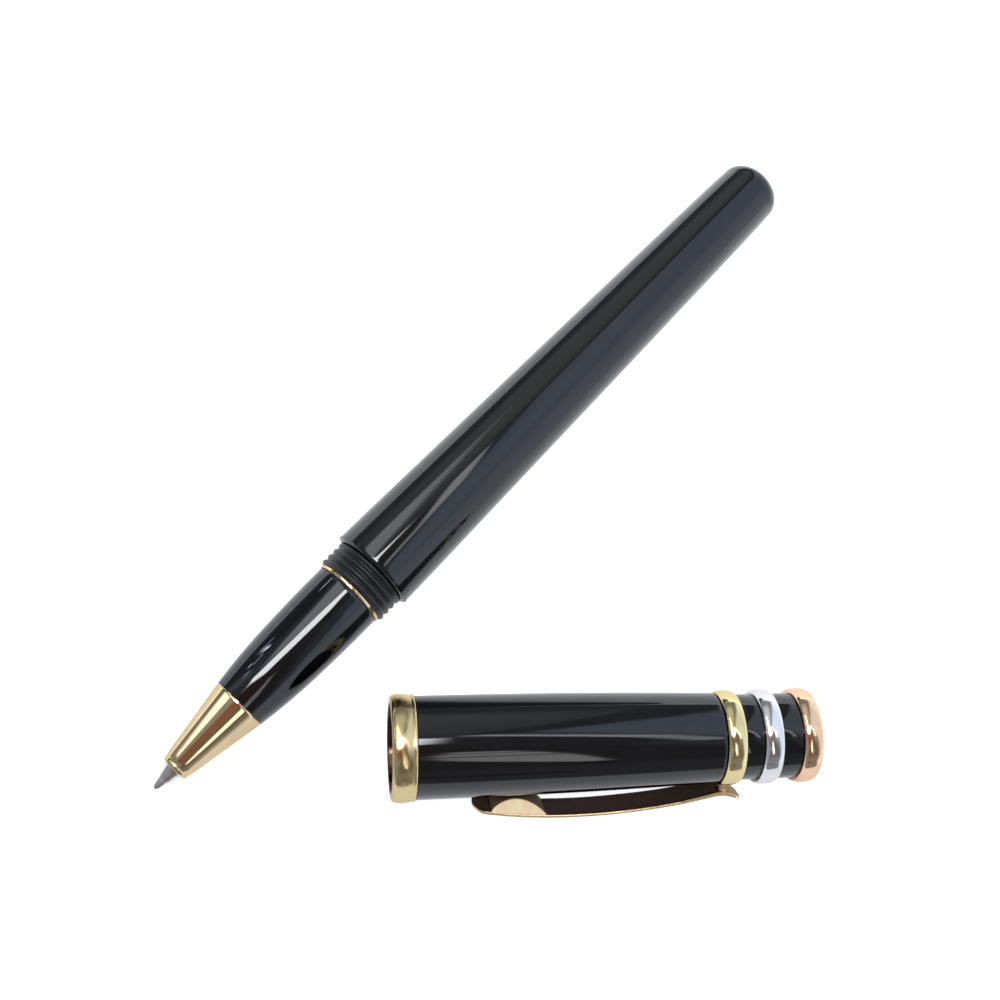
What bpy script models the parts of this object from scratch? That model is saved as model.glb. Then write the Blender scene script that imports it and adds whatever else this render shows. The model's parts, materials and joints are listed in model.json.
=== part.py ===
"""Rollerball pen lying with its cap off: metres, +Z up, both pieces at rest on the plane Z = 0.

Each turned piece is drawn as a closed outline of (along, radius) pairs in millimetres, measured along
its own axis: "along" runs from the writing tip to the tail on the pen, and from the mouth to the crown
on the cap. place_pen and place_cap then lay the pieces on the table.
"""

import math

import bmesh
import bpy
from mathutils import Matrix, Vector

MM = 0.001
FINE, COARSE = 48, 32            # sides of the outer shells, and of the small or inner pieces
GAP = 0.08                       # radial or axial clearance between fitted pieces, mm

# --- Pen, in mm along its axis from the tip
PEN_LENGTH = 120.2
BARREL_FRONT, BARREL_RADIUS = 37.55, 5.985
NOSE_FRONT, NOSE_REAR = 3.0, 13.98
GRIP_REAR, GRIP_REAR_RADIUS = 33.3, 4.87
TRIM_RADIUS, TRIM_WIDTH = 5.02, 0.45
THREAD_PITCH, THREAD_CREST, THREAD_ROOT, THREAD_RIDGES = 0.98, 5.36, 5.10, 4
REFILL_RADIUS, REFILL_SHOULDER, REFILL_REAR = 3.0, 17.95, 106.0
BALL_RADIUS, BALL_AT = 0.30, 0.18
SPRING_RADIUS, SPRING_WIRE, SPRING_TURNS = 2.25, 0.3, 7
SCREW_START, SCREW_END = 38.5, 41.9   # thread that joins the grip to the barrel

# --- Cap, in mm along its axis from the mouth
BAND_WIDTH, BAND_RADIUS, BAND_BORE = 3.05, 6.81, 5.6
CAP_BODY_END = 42.42
RING_STARTS = {"ring_yellow": 42.5, "ring_silver": 47.4, "ring_rose": 52.6}
RING_WIDTH, RING_RADIUS, RING_EDGE_RADIUS = 2.5, 6.15, 5.72
NECK_RADIUS = 5.53
STUD_RADIUS = 4.6
CROWN_END = 55.1

# --- Clip, in mm along the cap and out from its axis
CLIP_ANGLE = math.radians(28.3)  # below the horizontal, on the -Y side
CLIP_WIDTH, CLIP_THICKNESS = 4.6, 0.5
CLIP_FOOT, CLIP_TAIL = 10.6, 46.2
PIVOT_AT, PIVOT_RADIUS = 43.75, 6.60
PIN_RADIUS, PIN_HALF, PIN_PLAY = 0.22, 1.3, 0.06
LUG_HALF, EAR_START, EAR_END = 0.6, 0.7, 1.2

# --- Where the two pieces lie, in metres and radians
PEN_HEADING, PEN_TILT = math.radians(45.0), math.radians(0.985)
CAP_TILT = math.radians(0.71)
PEN_TIP = Vector((-0.04346, -0.04077, 0.006739))
CAP_MOUTH = Vector((-0.01484, -0.03699, 0.006824))


# ------------------------------------------------------------------ placing

def place_pen(obj):
    """Lay a piece drawn along local +X on the pen's axis, which drops a little towards the tail."""
    turn = Matrix.Rotation(PEN_HEADING, 4, "Z") @ Matrix.Rotation(PEN_TILT, 4, "Y")
    obj.matrix_world = Matrix.Translation(PEN_TIP) @ turn
    return obj


def place_cap(obj):
    obj.matrix_world = Matrix.Translation(CAP_MOUTH) @ Matrix.Rotation(CAP_TILT, 4, "Y")
    return obj


def clip_frame():
    """Local frame of the clip in the cap's frame: X along the cap, Y across the blade, Z outwards."""
    out = Vector((0, -math.cos(CLIP_ANGLE), -math.sin(CLIP_ANGLE)))
    along = Vector((1, 0, 0))
    across = out.cross(along)
    return Matrix((along, across, out)).transposed().to_4x4()


def place_clip(obj, origin=(0.0, 0.0, 0.0)):
    """Lay a piece drawn in the clip's frame; origin (mm, in that frame) becomes its local zero."""
    shift = Matrix.Translation(Vector(origin) * MM)
    obj.matrix_world = (Matrix.Translation(CAP_MOUTH) @ Matrix.Rotation(CAP_TILT, 4, "Y")
                        @ clip_frame() @ shift)
    return obj


# ------------------------------------------------------------------ making

def material(name, colour, metallic, roughness):
    mat = bpy.data.materials.get(name) or bpy.data.materials.new(name)
    mat.use_nodes = True
    shader = mat.node_tree.nodes["Principled BSDF"]
    shader.inputs["Base Color"].default_value = (*colour, 1.0)
    shader.inputs["Metallic"].default_value = metallic
    shader.inputs["Roughness"].default_value = roughness
    return mat


LACQUER = ("black_lacquer", (0.012, 0.013, 0.017), 0.0, 0.12)
YELLOW_GOLD = ("yellow_gold", (0.90, 0.70, 0.34), 1.0, 0.15)
ROSE_GOLD = ("rose_gold", (0.90, 0.58, 0.42), 1.0, 0.15)
WHITE_GOLD = ("white_gold", (0.84, 0.83, 0.82), 1.0, 0.15)
STEEL = ("refill_steel", (0.62, 0.62, 0.63), 1.0, 0.25)
BRASS = ("turned_brass", (0.72, 0.55, 0.25), 1.0, 0.35)
CARBIDE = ("carbide", (0.20, 0.20, 0.21), 1.0, 0.3)
REFILL_PLASTIC = ("refill_plastic", (0.75, 0.75, 0.72), 0.0, 0.4)
INNER_PLASTIC = ("inner_plastic", (0.05, 0.05, 0.055), 0.0, 0.5)
SPRING_STEEL = ("spring_steel", (0.55, 0.55, 0.56), 1.0, 0.3)


def finish(name, bm, look, sharp_degrees=35):
    """Turn a bmesh drawn in mm into a smooth-shaded object with its own material, in metres."""
    bmesh.ops.recalc_face_normals(bm, faces=bm.faces)
    if bm.calc_volume(signed=True) < 0:
        bmesh.ops.reverse_faces(bm, faces=bm.faces)
    bmesh.ops.scale(bm, vec=(MM, MM, MM), verts=bm.verts)
    mesh = bpy.data.meshes.new(name)
    bm.to_mesh(mesh)
    bm.free()
    obj = bpy.data.objects.new(name, mesh)
    bpy.context.scene.collection.objects.link(obj)
    mesh.materials.append(material(*look))
    mesh.shade_smooth()
    mesh.set_sharp_from_angle(angle=math.radians(sharp_degrees))
    return obj


def turned(name, outline, look, sides=COARSE):
    """Revolve a closed outline of (along, radius) round local +X. Radius 0 points close on the axis."""
    bm = bmesh.new()
    rings = []
    for along, radius in outline:
        if radius < 1e-6:
            rings.append([bm.verts.new((along, 0, 0))])
            continue
        angles = (2 * math.pi * i / sides for i in range(sides))
        rings.append([bm.verts.new((along, radius * math.cos(a), radius * math.sin(a)))
                      for a in angles])
    for first, second in zip(rings, rings[1:] + rings[:1]):
        for i in range(sides):
            corners = [first[i % len(first)], first[(i + 1) % len(first)],
                       second[(i + 1) % len(second)], second[i % len(second)]]
            corners = list(dict.fromkeys(corners))
            if len(corners) > 2:
                bm.faces.new(corners)
    return finish(name, bm, look)


def strip(name, sections, look, sharp_degrees=35):
    """Skin equal-length closed loops of (x, y, z) points one after another, with flat end caps."""
    bm = bmesh.new()
    loops = [[bm.verts.new(point) for point in loop] for loop in sections]
    count = len(loops[0])
    for first, second in zip(loops, loops[1:]):
        for i in range(count):
            j = (i + 1) % count
            bm.faces.new((first[i], first[j], second[j], second[i]))
    bm.faces.new(loops[0])
    bm.faces.new(loops[-1][::-1])
    return finish(name, bm, look, sharp_degrees)


def eased(points, steps):
    """Catmull-Rom curve through the points, steps pieces per span."""
    ends = [tuple(2 * a - b for a, b in zip(points[0], points[1]))]
    tail = [tuple(2 * a - b for a, b in zip(points[-1], points[-2]))]
    knots = ends + list(points) + tail
    curve = []
    for p0, p1, p2, p3 in zip(knots, knots[1:], knots[2:], knots[3:]):
        for k in range(steps):
            t = k / steps
            curve.append(tuple(0.5 * (2 * b + (c - a) * t + (2 * a - 5 * b + 4 * c - d) * t * t
                                      + (3 * b - a - 3 * c + d) * t ** 3)
                               for a, b, c, d in zip(p0, p1, p2, p3)))
    return curve + [tuple(points[-1])]


def value_at(points, along):
    """Radius of a polyline of (along, radius) at one station."""
    for (a, ra), (b, rb) in zip(points, points[1:]):
        if a <= along <= b:
            return ra + (rb - ra) * (along - a) / (b - a)
    return points[-1][1] if along > points[-1][0] else points[0][1]


def tube(start, end, outer, inner):
    return [(start, outer), (end, outer), (end, inner), (start, inner)]


# ------------------------------------------------------------------ pen, barrel side

BARREL_SIDE = [(38.6, BARREL_RADIUS), (45.4, 5.907), (56.4, 5.725), (73.8, 5.448), (92.3, 5.15),
               (111.9, 4.815), (117.3, 4.66)]
TAIL_FLAT, TAIL_DOME = 1.35, 2.9
BARREL_BORE = [(117.3, 3.35), (108.5, 3.35), (108.5, 3.7), (48.3, 4.3), (48.3, 5.0)]


def tail_dome(steps=7):
    """Rounded tail: a superellipse from the side of the barrel to a small flat."""
    start, radius = BARREL_SIDE[-1]
    drop, power = radius - TAIL_FLAT, 2 / 2.3
    points = []
    for k in range(1, steps + 1):
        a = math.pi / 2 * k / steps
        points.append((start + TAIL_DOME * math.sin(a) ** power,
                       radius - drop * (1 - max(math.cos(a), 0.0) ** power)))
    return points


def barrel_shell():
    nose = [(BARREL_FRONT, 5.45), (BARREL_FRONT + 0.12, 5.74), (BARREL_FRONT + 0.45, 5.93)]
    outer = nose + BARREL_SIDE + tail_dome() + [(PEN_LENGTH, 0.0)]
    inner = [(BARREL_BORE[0][0], 0.0)] + BARREL_BORE + [(BARREL_FRONT, 5.0)]
    return turned("barrel_shell", outer + inner, LACQUER, FINE)


def barrel_pieces():
    sleeve = turned("barrel_thread_sleeve", tube(38.3, 44.0, 5.0 - GAP, 4.3), BRASS)
    seat = turned("spring_seat", [(110.5, 0.0), (110.5, 1.4), (114.9, 1.4), (114.9, 3.22),
                                  (117.2, 3.22), (117.2, 0.0)], INNER_PLASTIC)
    return [barrel_shell(), sleeve, seat]


# ------------------------------------------------------------------ pen, grip side

NOSE_SIDE = [(3.0, 1.66), (3.1, 1.76), (3.4, 1.85), (4.1, 2.03), (5.5, 2.28), (9.0, 2.88),
             (12.6, 3.50), (NOSE_REAR, 3.74)]
GRIP_SIDE = [(NOSE_REAR + 0.05, 3.78), (15.2, 3.93), (17.2, 4.19), (19.2, 4.385), (22.2, 4.60),
             (26.2, 4.765), (30.0, 4.86), (GRIP_REAR, GRIP_REAR_RADIUS)]


def nose_cone():
    return turned("nose_cone", NOSE_SIDE + [(NOSE_REAR, 3.15), (17.65, 3.15), (17.65, 2.2),
                                            (8.0, 2.2), (8.0, 1.6), (NOSE_FRONT, 1.6)],
                  YELLOW_GOLD, FINE)


def grip_section():
    bore = [(GRIP_REAR, 4.05), (22.5, 4.05), (22.5, 3.15 + GAP), (NOSE_REAR + 0.05, 3.15 + GAP)]
    return turned("grip_section", GRIP_SIDE + bore, LACQUER, FINE)


def trim_ring():
    start = GRIP_REAR + 0.06
    end = start + TRIM_WIDTH
    return turned("trim_ring", [(start, 4.93), (start + 0.1, TRIM_RADIUS), (end - 0.1, TRIM_RADIUS),
                                (end, 4.93), (end, 4.05), (start, 4.05)], YELLOW_GOLD, FINE)


def thread_collar():
    """Male cap thread: rounded ridges between the trim ring and the barrel's mouth."""
    start = GRIP_REAR + 0.06 + TRIM_WIDTH + 0.05
    first = start + 0.42
    outer = [(start, THREAD_ROOT)]
    for ridge in range(THREAD_RIDGES):
        middle = first + ridge * THREAD_PITCH
        crest = THREAD_CREST
        outer += [(middle - 0.3, THREAD_ROOT + 0.04), (middle - 0.14, crest), (middle + 0.14, crest),
                  (middle + 0.3, THREAD_ROOT + 0.04)]
    end = BARREL_FRONT - 0.06
    outer = [point for point in outer if point[0] < end] + [(end, THREAD_ROOT)]
    return turned("thread_collar", outer + [(end, 4.05), (start, 4.05)], LACQUER, FINE)


def grip_liner():
    """Brass tube that carries the grip, the trim ring and the collar, and screws into the barrel."""
    return turned("grip_liner", [(22.7, 3.97), (SCREW_START - 0.2, 3.97), (SCREW_START, 4.2),
                                 (SCREW_END, 4.2), (SCREW_END + 0.2, 3.9), (47.7, 3.9),
                                 (47.7, 3.3), (22.7, 3.3)], BRASS)


# ------------------------------------------------------------------ pen, refill

def refill_pieces():
    tip = turned("refill_tip", [(0.12, 0.42), (0.6, 0.56), (3.0, 1.27), (3.5, 1.36), (8.4, 1.36),
                                (8.4, 1.0), (13.0, 1.0), (13.0, 0.0), (0.55, 0.0), (0.45, 0.34),
                                (0.12, 0.34)], STEEL, 24)
    nose = turned("refill_nose", [(8.7, 1.9), (REFILL_SHOULDER, 1.9), (REFILL_SHOULDER, 2.5),
                                  (24.0, 2.5), (24.0, 0.0), (13.3, 0.0), (13.3, 1.0 + GAP),
                                  (8.7, 1.0 + GAP)], REFILL_PLASTIC)
    body = turned("refill_tube", tube(REFILL_SHOULDER + 0.1, 104.0, REFILL_RADIUS, 2.5 + GAP),
                  REFILL_PLASTIC)
    plug = turned("refill_end_plug", [(98.0, 0.0), (98.0, 2.5), (104.1, 2.5),
                                      (104.1, REFILL_RADIUS), (REFILL_REAR - 0.3, REFILL_RADIUS),
                                      (REFILL_REAR, 2.7), (REFILL_REAR, 0.0)], INNER_PLASTIC)
    return [tip, nose, body, plug]


def writing_ball():
    """Carbide ball held in the tip; its origin is its own centre, where it rolls."""
    rows = 8
    outline = [(-BALL_RADIUS * math.cos(math.pi * k / rows), BALL_RADIUS * math.sin(math.pi * k / rows))
               for k in range(rows + 1)]
    ball = turned("writing_ball", outline, CARBIDE, 16)
    place_pen(ball)
    ball.matrix_world = ball.matrix_world @ Matrix.Translation((BALL_AT * MM, 0, 0))
    return ball


def refill_spring():
    """Coil spring between the refill's end plug and the seat in the barrel's tail."""
    start, end, rounds, sides = REFILL_REAR + 0.45, 114.45, SPRING_TURNS, 5
    steps = rounds * 12
    loops = []
    for k in range(steps + 1):
        turn = k / steps
        angle = 2 * math.pi * rounds * turn
        along = start + (end - start) * turn
        centre = Vector((along, SPRING_RADIUS * math.cos(angle), SPRING_RADIUS * math.sin(angle)))
        out = Vector((0, math.cos(angle), math.sin(angle)))
        loops.append([centre + SPRING_WIRE * (math.cos(w) * out + math.sin(w) * Vector((1, 0, 0)))
                      for w in (2 * math.pi * s / sides for s in range(sides))])
    return strip("refill_spring", loops, SPRING_STEEL)


# ------------------------------------------------------------------ cap

CAP_SIDE = [(BAND_WIDTH + 0.08, 6.50), (10.1, 6.46), (19.8, 6.37), (27.7, 6.235), (35.7, 6.02),
            (CAP_BODY_END, 5.80)]


def mouth_band():
    outer = [(0.0, 6.36), (0.08, 6.56), (0.32, 6.71), (0.7, 6.79), (1.2, BAND_RADIUS), (1.9, 6.77),
             (2.6, 6.66), (2.95, 6.60), (BAND_WIDTH, 6.54)]
    spigot = [(BAND_WIDTH, 5.87), (6.6, 5.87), (6.6, BAND_BORE), (0.0, BAND_BORE)]
    return turned("mouth_band", outer + spigot, YELLOW_GOLD, FINE)


def cap_shell():
    bore = [(CAP_BODY_END, 2.6), (40.4, 2.6), (40.4, 5.2), (25.0, 5.2), (25.0, 5.5), (7.0, 5.5),
            (7.0, 5.95), (BAND_WIDTH + 0.08, 5.95)]
    return turned("cap_shell", CAP_SIDE + bore, LACQUER, FINE)


def cap_pieces():
    sleeve = turned("cap_inner_sleeve", [(7.2, 5.4), (24.8, 5.4), (24.8, 5.1), (39.4, 5.1),
                                         (39.4, 0.0), (38.3, 0.0), (38.3, 4.45), (19.5, 4.45),
                                         (18.5, 4.98), (7.2, 4.98)], INNER_PLASTIC)
    nut = turned("crown_nut", tube(39.6, 40.3, 4.3, 2.5), BRASS)
    return [mouth_band(), cap_shell(), sleeve, nut]


def crown_ring(name, look):
    """Finger-ring shaped band of D section on the crown stud."""
    start = RING_STARTS[name]
    half, middle, steps = RING_WIDTH / 2, start + RING_WIDTH / 2, 8
    power = 2.4
    outer = []
    for k in range(steps + 1):
        q = -1 + 2 * k / steps
        rise = (1 - abs(q) ** power) ** (1 / power)
        outer.append((middle + half * q, RING_EDGE_RADIUS + (RING_RADIUS - RING_EDGE_RADIUS) * rise))
    inner = STUD_RADIUS + GAP
    return turned(name, outer + [(start + RING_WIDTH, inner), (start, inner)], look, FINE)


def crown_pieces():
    """Stud, the three rings and the lacquer spacers between them, and the disc that ends the cap."""
    yellow, silver, rose = (RING_STARTS[name] for name in ("ring_yellow", "ring_silver", "ring_rose"))
    inner, joint = STUD_RADIUS + GAP, 0.05
    stud = turned("crown_stud", [(39.55, 2.42), (42.5, 2.42), (42.5, STUD_RADIUS),
                                 (CROWN_END - 0.9, STUD_RADIUS), (CROWN_END - 0.9, 0.0),
                                 (39.55, 0.0)], BRASS)
    spacers = [turned(name, tube(start + RING_WIDTH + joint, end - joint, NECK_RADIUS, inner),
                      LACQUER, FINE)
               for name, start, end in (("spacer_front", yellow, silver), ("spacer_rear", silver, rose))]
    rings = [crown_ring("ring_yellow", YELLOW_GOLD), crown_ring("ring_silver", WHITE_GOLD),
             crown_ring("ring_rose", ROSE_GOLD)]
    disc = turned("crown_disc", [(CROWN_END - 0.82, inner - 0.1), (CROWN_END - 0.1, inner - 0.1),
                                 (CROWN_END, inner - 0.3), (CROWN_END, 0.0),
                                 (CROWN_END - 0.82, 0.0)], LACQUER)
    return [stud, disc] + spacers + rings


# ------------------------------------------------------------------ clip

CLIP_OUTER = [(CLIP_FOOT, 8.20), (12.2, 8.64), (15.8, 9.11), (19.8, 9.43), (23.8, 9.52),
              (28.0, 9.41), (33.0, 9.04), (38.0, 8.43), (41.4, 7.90), (43.3, 7.66), (44.7, 7.86),
              (CLIP_TAIL, 8.48)]
CLIP_WIDTHS = [(CLIP_FOOT, 2.0), (CLIP_FOOT + 0.4, 3.3), (CLIP_FOOT + 1.3, 4.4), (14.5, CLIP_WIDTH),
               (30.0, CLIP_WIDTH), (38.0, 4.3), (43.4, 3.5), (45.5, 3.3), (CLIP_TAIL, 2.2)]
CLIP_DEPTHS = [(CLIP_FOOT, 0.42), (12.2, CLIP_THICKNESS), (36.0, CLIP_THICKNESS), (43.0, 0.66),
               (CLIP_TAIL, 0.50)]


def clip_blade():
    """Bowed spring blade, crowned across its outside, with a short lever past the pivot and two ears."""
    sections = []
    for along, top in eased(CLIP_OUTER, 3):
        half, depth = value_at(CLIP_WIDTHS, along) / 2, value_at(CLIP_DEPTHS, along)
        low, shoulder = top - depth, top - 0.3 * depth
        sections.append([(along, -half, low + 0.08), (along, -half, shoulder),
                         (along, -0.7 * half, top - 0.06), (along, 0, top),
                         (along, 0.7 * half, top - 0.06), (along, half, shoulder),
                         (along, half, low + 0.08), (along, 0.85 * half, low),
                         (along, -0.85 * half, low)])
    blade = place_clip(strip("clip_blade", from_pivot(sections), YELLOW_GOLD),
                       (PIVOT_AT, 0, PIVOT_RADIUS))
    for side, start, end in (("left", -EAR_END, -EAR_START), ("right", EAR_START, EAR_END)):
        ear = plate("ear_" + side, squared(-0.5, 0.5, -0.42, 0.62), start, end,
                    PIN_RADIUS + PIN_PLAY, YELLOW_GOLD)
        place_clip(ear, (PIVOT_AT, 0, PIVOT_RADIUS))
        ear.hide_render, ear.display_type = True, "WIRE"
        union = blade.modifiers.new(ear.name, "BOOLEAN")
        union.operation, union.solver, union.object = "UNION", "EXACT", ear
    return blade


def from_pivot(sections):
    return [[(x - PIVOT_AT, y, z - PIVOT_RADIUS) for x, y, z in loop] for loop in sections]


def clip_pad():
    """Block welded inside the blade's foot, as wide as the blade: its arched side presses on the
    pocket cloth and its two ground flanks are D-shaped."""
    start, end, half, corner, steps = 12.9, 20.0, 2.2, 0.12, 14
    bottom = value_at(CAP_SIDE, 15.3) + 0.12
    roof = eased(CLIP_OUTER, 3)
    sections = []
    for k in range(steps + 1):
        share = k / steps
        along = start + (end - start) * share
        bulge = max(math.sin(math.pi * share ** 0.8), 0.12) ** 0.75
        top = value_at(roof, along) - CLIP_THICKNESS - 0.06
        low = top - (top - bottom) * bulge * 0.98
        sections.append([(along, half, top), (along, half, low + corner), (along, half - corner, low),
                         (along, corner - half, low), (along, -half, low + corner), (along, -half, top)])
    return place_clip(strip("clip_pad", from_pivot(sections), YELLOW_GOLD),
                      (PIVOT_AT, 0, PIVOT_RADIUS))


def plate(name, outline, start, end, hole, look):
    """Flat ear or lug: an outline in the X-Z plane with a round hole, between two Y stations."""
    bm = bmesh.new()
    sides = 16
    rim = [(hole * math.cos(2 * math.pi * i / sides), hole * math.sin(2 * math.pi * i / sides))
           for i in range(sides)]
    loops = []
    for y in (start, end):
        loops.append(([bm.verts.new((x, y, z)) for x, z in outline],
                      [bm.verts.new((x, y, z)) for x, z in rim]))
    for outer, inner in loops:
        for i in range(sides):
            j = (i + 1) % sides
            bm.faces.new((outer[i], outer[j], inner[j], inner[i]))
    for which in (0, 1):
        near, far = loops[0][which], loops[1][which]
        for i in range(sides):
            j = (i + 1) % sides
            bm.faces.new((near[i], near[j], far[j], far[i]))
    return finish(name, bm, look)


def squared(x_low, x_high, z_low, z_high, sides=16):
    """Rectangle outline sampled at the same angles as a hole at its origin."""
    points = []
    for i in range(sides):
        a = 2 * math.pi * i / sides
        c, s = math.cos(a), math.sin(a)
        reach = [x_high / c if c > 1e-9 else math.inf, x_low / c if c < -1e-9 else math.inf,
                 z_high / s if s > 1e-9 else math.inf, z_low / s if s < -1e-9 else math.inf]
        points.append((min(reach) * c, min(reach) * s))
    return points


def clip_hardware():
    """Lug standing on the yellow ring, and the pivot pin through it and the blade's ears."""
    floor, roof = RING_RADIUS + 0.04 - PIVOT_RADIUS, 0.30
    lug = plate("clip_lug", squared(-0.55, 0.55, floor, roof), -LUG_HALF, LUG_HALF,
                PIN_RADIUS + 0.04, YELLOW_GOLD)
    pin = turned("clip_pin", [(-PIN_HALF, 0.0), (-PIN_HALF, PIN_RADIUS), (PIN_HALF, PIN_RADIUS),
                              (PIN_HALF, 0.0)], STEEL, 16)
    place_clip(pin, (PIVOT_AT, 0, PIVOT_RADIUS))
    pin.matrix_world = pin.matrix_world @ Matrix.Rotation(math.pi / 2, 4, "Z")
    return [place_clip(lug, (PIVOT_AT, 0, PIVOT_RADIUS)), pin]


# ------------------------------------------------------------------ scene

def main():
    for obj in list(bpy.data.objects):
        bpy.data.objects.remove(obj, do_unlink=True)
    for obj in (barrel_pieces() + [nose_cone(), grip_section(), trim_ring(), thread_collar(),
                                   grip_liner()] + refill_pieces() + [refill_spring()]):
        place_pen(obj)
    writing_ball()
    for obj in cap_pieces() + crown_pieces():
        place_cap(obj)
    clip_blade()
    clip_pad()
    clip_hardware()


main()
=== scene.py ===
"""Looks of the rollerball pen: fine turned shapes, lacquer and plated metals, studio and camera.

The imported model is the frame. Its joints and one mount give the axes of the pen, the cap and the clip.
Every outline below is in millimetres along and out from one of those axes.
"""

import json
import math

import bpy
from mathutils import Matrix, Vector


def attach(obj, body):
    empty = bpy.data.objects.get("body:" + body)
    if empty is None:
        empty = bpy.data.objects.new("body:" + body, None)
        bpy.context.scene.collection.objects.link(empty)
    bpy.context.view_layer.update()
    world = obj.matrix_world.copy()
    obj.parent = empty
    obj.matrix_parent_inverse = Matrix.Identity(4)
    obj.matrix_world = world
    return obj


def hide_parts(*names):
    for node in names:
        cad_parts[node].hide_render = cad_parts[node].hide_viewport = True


MM = 0.001
SIDES = 192                 # sides of a turned piece
CROWN_AT = 55.1             # the crown's flat face, mm from the cap's mouth

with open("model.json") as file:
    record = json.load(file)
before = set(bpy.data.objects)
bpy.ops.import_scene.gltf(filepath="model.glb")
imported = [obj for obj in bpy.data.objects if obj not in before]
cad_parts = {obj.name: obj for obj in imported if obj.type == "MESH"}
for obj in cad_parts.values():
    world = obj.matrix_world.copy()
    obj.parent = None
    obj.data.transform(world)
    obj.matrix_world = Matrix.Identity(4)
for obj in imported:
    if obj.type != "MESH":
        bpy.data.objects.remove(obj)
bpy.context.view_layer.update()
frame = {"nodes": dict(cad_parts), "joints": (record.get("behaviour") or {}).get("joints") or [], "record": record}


# ------------------------------------------------------------------ axes, taken from the frame

def joint(name):
    return next(j for j in frame["joints"] if j["name"] == name)


def axes(origin, along, out=(0, 0, 1)):
    """Matrix whose X runs along a piece and whose Z points out as nearly as it can."""
    x = Vector(along).normalized()
    y = Vector(out).cross(x).normalized()
    turn = Matrix((x, y, x.cross(y))).transposed().to_4x4()
    return Matrix.Translation(Vector(origin)) @ turn


def mount(name):
    return next(m for m in frame["record"]["mounts"] if m["name"] == name)


PEN = axes(joint("grip_turn")["pos_m"], -Vector(joint("grip_turn")["axis"]))
cap_along = Vector(joint("cap_pull")["axis"]).normalized()
CAP = axes(Vector(mount("cap_crown_face")["pos_m"]) - cap_along * CROWN_AT * MM, cap_along)
clip_across = Vector(joint("clip_flex")["axis"])
CLIP = axes(joint("clip_flex")["pos_m"], cap_along, cap_along.cross(clip_across))
PIVOT_AT, PIVOT_OUT = 43.75, 6.60   # the clip's pivot, mm along and out from the cap's axis


# ------------------------------------------------------------------ outlines

def eased(points, steps=8):
    """Catmull-Rom curve through the points."""
    first = tuple(2 * a - b for a, b in zip(points[0], points[1]))
    last = tuple(2 * a - b for a, b in zip(points[-1], points[-2]))
    knots = [first] + [tuple(p) for p in points] + [last]
    curve = []
    for p0, p1, p2, p3 in zip(knots, knots[1:], knots[2:], knots[3:]):
        for k in range(steps):
            t = k / steps
            curve.append(tuple(0.5 * (2 * b + (c - a) * t + (2 * a - 5 * b + 4 * c - d) * t * t
                                      + (3 * b - a - 3 * c + d) * t ** 3)
                               for a, b, c, d in zip(p0, p1, p2, p3)))
    return curve + [tuple(points[-1])]


def softened(points, radius, steps=5):
    """The open outline with each inner corner rounded by about this radius."""
    out = [points[0]]
    for before, corner, after in zip(points, points[1:], points[2:]):
        a, b, c = Vector(before), Vector(corner), Vector(after)
        to_a, to_c = a - b, c - b
        reach = min(radius, 0.45 * to_a.length, 0.45 * to_c.length)
        start, end = b + to_a.normalized() * reach, b + to_c.normalized() * reach
        for k in range(steps + 1):
            t = k / steps
            out.append(tuple((1 - t) ** 2 * start + 2 * t * (1 - t) * b + t * t * end))
    return out + [points[-1]]


def value_at(points, along):
    """Straight-line value at a place along the outline, level beyond its two ends."""
    if along <= points[0][0]:
        return points[0][1]
    for (a, ra), (b, rb) in zip(points, points[1:]):
        if a <= along <= b:
            return ra + (rb - ra) * (along - a) / (b - a)
    return points[-1][1]


# ------------------------------------------------------------------ meshes

def piece(name, verts, faces, matrix, mat, sharp=40, inner=None):
    """Mesh in the row frame. Each point keeps its place on the piece's own axes for the materials;
    inner gives each point 0 or 1, where 1 is a side that is darkened, partly as a duller finish and partly as
    painted shade."""
    own = [Vector(v) * MM for v in verts]
    mesh = bpy.data.meshes.new(name)
    mesh.from_pydata([matrix @ v for v in own], [], faces)
    places = mesh.attributes.new("own", "FLOAT_VECTOR", "POINT")
    places.data.foreach_set("vector", [x for v in own for x in v])
    if inner is not None:
        mesh.attributes.new("inner", "FLOAT", "POINT").data.foreach_set("value", inner)
    mesh.materials.append(mat)
    mesh.shade_smooth()
    mesh.set_sharp_from_angle(angle=math.radians(sharp))
    obj = bpy.data.objects.new(name, mesh)
    bpy.context.scene.collection.objects.link(obj)
    return obj


def turned(name, outline, matrix, mat, sides=SIDES, closed=True, sharp=40):
    """Revolve an outline of (along, radius), mm, round the matrix's X axis. It runs mouth to tail
    outside and back inside; a point on the axis closes that end."""
    verts, rings = [], []
    for along, radius in outline:
        if radius < 1e-6:
            rings.append([len(verts)])
            verts.append((along, 0, 0))
            continue
        rings.append(list(range(len(verts), len(verts) + sides)))
        verts += [(along, radius * math.cos(a), radius * math.sin(a))
                  for a in (2 * math.pi * i / sides for i in range(sides))]
    faces = []
    pairs = list(zip(rings, rings[1:] + rings[:1])) if closed else list(zip(rings, rings[1:]))
    for one, two in pairs:
        if len(one) == 1 and len(two) == 1:
            continue
        for i in range(sides):
            j = (i + 1) % sides
            corners = [one[i % len(one)], two[i % len(two)], two[j % len(two)], one[j % len(one)]]
            faces.append(list(dict.fromkeys(corners)))
    return piece(name, verts, faces, matrix, mat, sharp)


def skinned(name, loops, matrix, mat, sharp=40, inner=None):
    """Skin closed loops of points one after another, with a flat cap at each end."""
    count = len(loops[0])
    verts = [point for loop in loops for point in loop]
    faces = []
    for k in range(len(loops) - 1):
        a, b = k * count, (k + 1) * count
        faces += [(a + i, a + (i + 1) % count, b + (i + 1) % count, b + i) for i in range(count)]
    faces += [tuple(range(count))[::-1], tuple(range(len(verts) - count, len(verts)))]
    return piece(name, verts, faces, matrix, mat, sharp, inner)


# ------------------------------------------------------------------ materials

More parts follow.
